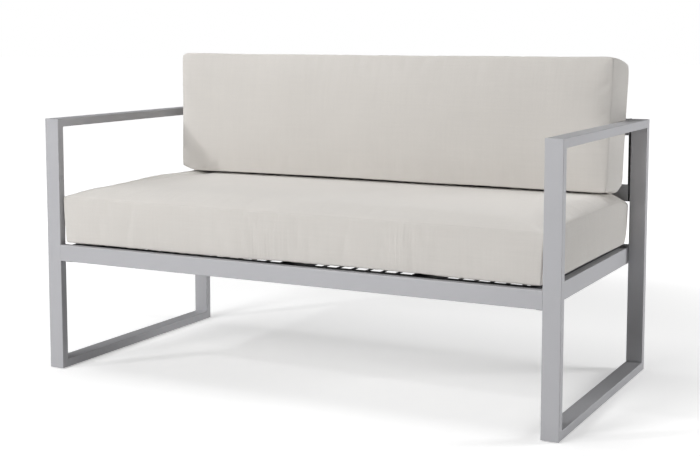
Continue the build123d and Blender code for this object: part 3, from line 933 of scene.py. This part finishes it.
# %% The row tree
def make_row_tree(name, unit_kind, **unit_values):
    """A tree that repeats a unit shape along a line, with its sizes as inputs."""
    tree, given, outside = new_group(
        name, "GeometryNodeTree",
        [("Line", "Geometry", None), ("Step", "Float", 0.003), ("Length", "Float", 0.002),
         ("Width", "Float", 0.0005), ("Height", "Float", 0.0005), ("Finish", "Material", None)],
        [("Row", "Geometry")])
    curve = new_node(tree, "GeometryNodeMeshToCurve", (1, 0), in_0=given["Line"])
    steps = new_node(tree, "GeometryNodeResampleCurve", (2, 0), mode="LENGTH", in_Curve=curve,
                     in_Length=given["Step"])
    outward = new_node(tree, "GeometryNodeInputNamedAttribute", (2, 2), data_type="FLOAT_VECTOR",
                       in_Name="outward")
    tangent = new_node(tree, "GeometryNodeInputTangent", (3, 3))
    stand = new_node(tree, "FunctionNodeAlignRotationToVector", (3, 2), axis="Z", in_Vector=outward)
    turn = new_node(tree, "FunctionNodeAlignRotationToVector", (4, 2), axis="X", pivot_axis="Z",
                    in_Rotation=stand, in_Vector=tangent)
    unit = new_node(tree, unit_kind, (4, 1), **unit_values)
    size = new_node(tree, "ShaderNodeCombineXYZ", (4, 4), in_0=given["Length"], in_1=given["Width"],
                    in_2=given["Height"])
    rows = new_node(tree, "GeometryNodeInstanceOnPoints", (6, 0), in_Points=steps, in_Instance=unit,
                    in_Rotation=turn, in_Scale=size)
    real = new_node(tree, "GeometryNodeRealizeInstances", (7, 0), in_0=rows)
    finish = new_node(tree, "GeometryNodeSetMaterial", (8, 0), in_Geometry=real, in_Material=given["Finish"])
    set_values(tree, outside, in_Row=finish)
    return tree


bead_row = make_row_tree("bead_row", "GeometryNodeMeshUVSphere", in_Segments=6, in_Rings=4, in_Radius=0.5)
block_row = make_row_tree("block_row", "GeometryNodeMeshCube", in_Size=(1, 1, 1))


def make_rows(name, tree, lines, sizes, finish, body):
    """One plain mesh of rows along lines, each given as points, outward ways, and closed or not."""
    points, edges, ways = [], [], []
    for line, outward, closed in lines:
        first = len(points)
        points += [tuple(p) for p in line]
        ways += [tuple(w) for w in outward]
        edges += [(first + i, first + i + 1) for i in range(len(line) - 1)]
        if closed:
            edges.append((first + len(line) - 1, first))
    piece = add_mesh(name, points, edges, [])
    attribute = piece.data.attributes.new("outward", "FLOAT_VECTOR", "POINT")
    attribute.data.foreach_set("vector", np.array(ways).ravel())
    modifier = piece.modifiers.new("rows", "NODES")
    modifier.node_group = tree
    values = dict(sizes, Finish=finish)
    for item in tree.interface.items_tree:
        if item.in_out == "INPUT" and item.name in values:
            modifier[item.identifier] = values[item.name]
    ready = take_result(piece, modifier)
    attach(piece, body)
    print(name, "faces", len(ready.polygons))
    return piece


# %% [markdown]
# ## Seam stitches
#
# Where a filled seam is pulled open a little, its thread shows as a row of short stitches in the groove.

# %% Stitches along the seams
stitch_sizes = {"Step": 4.2 * MM, "Length": 2.9 * MM, "Width": 0.75 * MM, "Height": 0.5 * MM}
stitch_lift = 0.02 * MM


def line_on_surface(surface, line, lift):
    """The line moved onto a surface and lifted off it, with the way out at each point."""
    placed, outward = [], []
    for point in line:
        place, normal, _, _ = surface.find_nearest(Vector(point))
        placed.append(place + normal * lift)
        outward.append(normal)
    return placed, outward


for cover, skin, rings, body in ((seat_cover, seat_skin, seat_rings, "seat_cushion"),
                                 (back_cover, back_skin, back_rings, "back_cushion")):
    lines = [(*line_on_surface(skin, ring, stitch_lift), True) for ring in rings.values()]
    stitches = make_rows(cover.name.replace("cover", "seam_stitches"), bead_row, lines, stitch_sizes,
                         seam_thread, body)

# %% [markdown]
# ## Zips
#
# Each cover comes off for washing through a coil zip in its boxing: on the seat in the rear side, on the back
# cushion in the underside. A zip is a pair of woven tapes, a row of coil teeth and a slider with a small
# pull.

# %% Zips in the boxing
zip_half_length = 460 * MM
zip_half_width = 12 * MM
zip_step = 10 * MM
zip_out = 10 * MM
tape_lift = 0.35 * MM
teeth_sizes = {"Step": 2.6 * MM, "Length": 1.3 * MM, "Width": 4.6 * MM, "Height": 1.1 * MM}
slider_size = (11 * MM, 8 * MM, 2.6 * MM)
pull_size = (5 * MM, 19 * MM, 1.1 * MM)
pull_drop = 0.4 * MM
slider_from_end = 18 * MM
edge_share = 0.3


def make_tape(name, skin, middle, across, body):
    """The two tapes of a zip as one strip that lies on the cover."""
    offsets = [zip_half_width * share for share in (-1, -0.5, 0, 0.5, 1)]
    points, faces, flat = [], [], []
    for place in middle:
        for offset in offsets:
            spot, normal, _, _ = skin.find_nearest(place + across * offset)
            points.append(spot + normal * tape_lift)
            flat.append((place.x, offset))
    rows = len(offsets)
    for i in range(len(middle) - 1):
        for j in range(rows - 1):
            first = i * rows + j
            faces.append((first, first + 1, first + rows + 1, first + rows))
    tape = add_mesh(name, points, [], faces)
    layer = tape.data.uv_layers.new(name=flat_map_name)
    for loop in tape.data.loops:
        layer.data[loop.index].uv = flat[loop.vertex_index]
    tape.data.materials.append(zip_cloth)
    thick = tape.modifiers.new("thick", "SOLIDIFY")
    thick.thickness = 2 * tape_lift
    thick.offset = 0
    take_result(tape, thick)
    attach(tape, body)


def add_block(shape, centre, ways, size):
    """A block with softened edges, laid along three ways, added to a bmesh."""
    made = bmesh.ops.create_cube(shape, size=1)
    for vertex in made["verts"]:
        x, y, z = (vertex.co[i] * size[i] for i in range(3))
        vertex.co = centre + ways[0] * x + ways[1] * y + ways[2] * z
    edges = {edge for vertex in made["verts"] for edge in vertex.link_edges}
    bmesh.ops.bevel(shape, geom=list(edges), offset=min(size) * edge_share, segments=2, affect="EDGES")


def make_slider(name, place, along, normal, body):
    """The slider body and its pull, which lies flat beside the teeth."""
    ways = (along, normal.cross(along).normalized(), normal)
    shape = bmesh.new()
    slider_centre = place + normal * (slider_size[2] / 2 + tape_lift)
    add_block(shape, slider_centre, ways, slider_size)
    pull_centre = slider_centre + ways[1] * (slider_size[1] + pull_size[1]) / 2
    add_block(shape, pull_centre - normal * pull_drop, ways, pull_size)
    mesh = bpy.data.meshes.new(name)
    shape.to_mesh(mesh)
    shape.free()
    mesh.materials.append(screw_steel)
    slider = add_object(name, mesh)
    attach(slider, body)


def make_zip(name, skin, y, z, across, body):
    """A zip along X on the cover, near a place in Y and Z."""
    count = round(2 * zip_half_length / zip_step)
    middle = [Vector((-zip_half_length + zip_step * i, y, z)) for i in range(count + 1)]
    make_tape(name + "_zip_tape", skin, middle, across, body)
    line = (*line_on_surface(skin, middle, 2 * tape_lift), False)
    teeth = make_rows(name + "_zip_teeth", block_row, [line], teeth_sizes, zip_nylon, body)
    spot, normal, _, _ = skin.find_nearest(Vector((zip_half_length - slider_from_end, y, z)))
    make_slider(name + "_zip_slider", spot, Vector((1, 0, 0)), normal, body)


seat_zip_z = (seat_low_seam + seat_high_seam) / 2
make_zip("seat", seat_skin, seat_rear + zip_out, seat_zip_z, Vector((0, 0, 1)), "seat_cushion")
back_zip_y = back_front + 0.8 * (back_rear - back_front)
make_zip("back", back_skin, back_zip_y, back_foot - zip_out, Vector((0, 1, 0)), "back_cushion")

# %% [markdown]
# ## Weld beads
#
# The tubes of the seat frame and the back frame are welded where one butts against another. The seen faces
# are ground flush before coating, and the inside corners keep a narrow bead of overlapping ripples.

# %% Beads of the frame
bead_sizes = {"Step": 1.5 * MM, "Length": 2.6 * MM, "Width": 3.4 * MM, "Height": 3.4 * MM}
bead_from_top = 2.2 * MM
arm_bead_inset = 2 * MM


def weld_around_end(node, axis, end_value, sides):
    """A line round three sides of a tube's end. The sides are (axis, low or high) in walking order."""
    low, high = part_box(node)
    corners, outward = [], []
    for (axis_a, end_a), (axis_b, end_b) in zip(sides, sides[1:]):
        place = [0.0, 0.0, 0.0]
        place[axis] = end_value
        place[axis_a] = (low, high)[end_a][axis_a]
        place[axis_b] = (low, high)[end_b][axis_b]
        corners.append(Vector(place))
        way = Vector((0, 0, 0))
        for a, e in ((axis_a, end_a), (axis_b, end_b)):
            way[a] += 1.0 if e else -1.0
        outward.append(way.normalized())
    corners[0] += (corners[1] - corners[0]).normalized() * bead_from_top
    corners[-1] += (corners[-2] - corners[-1]).normalized() * bead_from_top
    return corners, outward, False


cross_round = [(2, 1), (0, 0), (2, 0), (0, 1), (2, 1)]
rail_round = [(2, 0), (1, 1), (2, 1), (1, 0), (2, 0)]
weld_rounds = [(side + "_cross_tube", 1, cross_round) for side in ("left", "middle", "right")]
weld_rounds += [("left_side_rail", 1, [(2, 1), (0, 1), (2, 0)])]
weld_rounds += [("right_side_rail", 1, [(2, 1), (0, 0), (2, 0)])]
weld_rounds += [(name, 0, rail_round) for name in ("back_top_rail", "back_low_rail")]
weld_lines = []
for name, axis, sides in weld_rounds:
    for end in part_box(name):
        weld_lines.append(weld_around_end(name, axis, end[axis], sides))
for side in ("left", "right"):
    arm_low, arm_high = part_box(side + "_arm")
    runner_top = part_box(side + "_runner")[1][2]
    leg_inner_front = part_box(side + "_front_leg")[1][1]
    leg_inner_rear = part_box(side + "_rear_leg")[0][1]
    for y, toward_y in ((leg_inner_front, 1), (leg_inner_rear, -1)):
        for z, toward_z in ((runner_top, 1), (arm_low[2], -1)):
            ends = (arm_low[0] + arm_bead_inset, arm_high[0] - arm_bead_inset)
            way = Vector((0, toward_y, toward_z)).normalized()
            weld_lines.append(([Vector((x, y, z)) for x in ends], [way, way], False))
welds = make_rows("weld_beads", bead_row, weld_lines, bead_sizes, silver_coat, "frame")
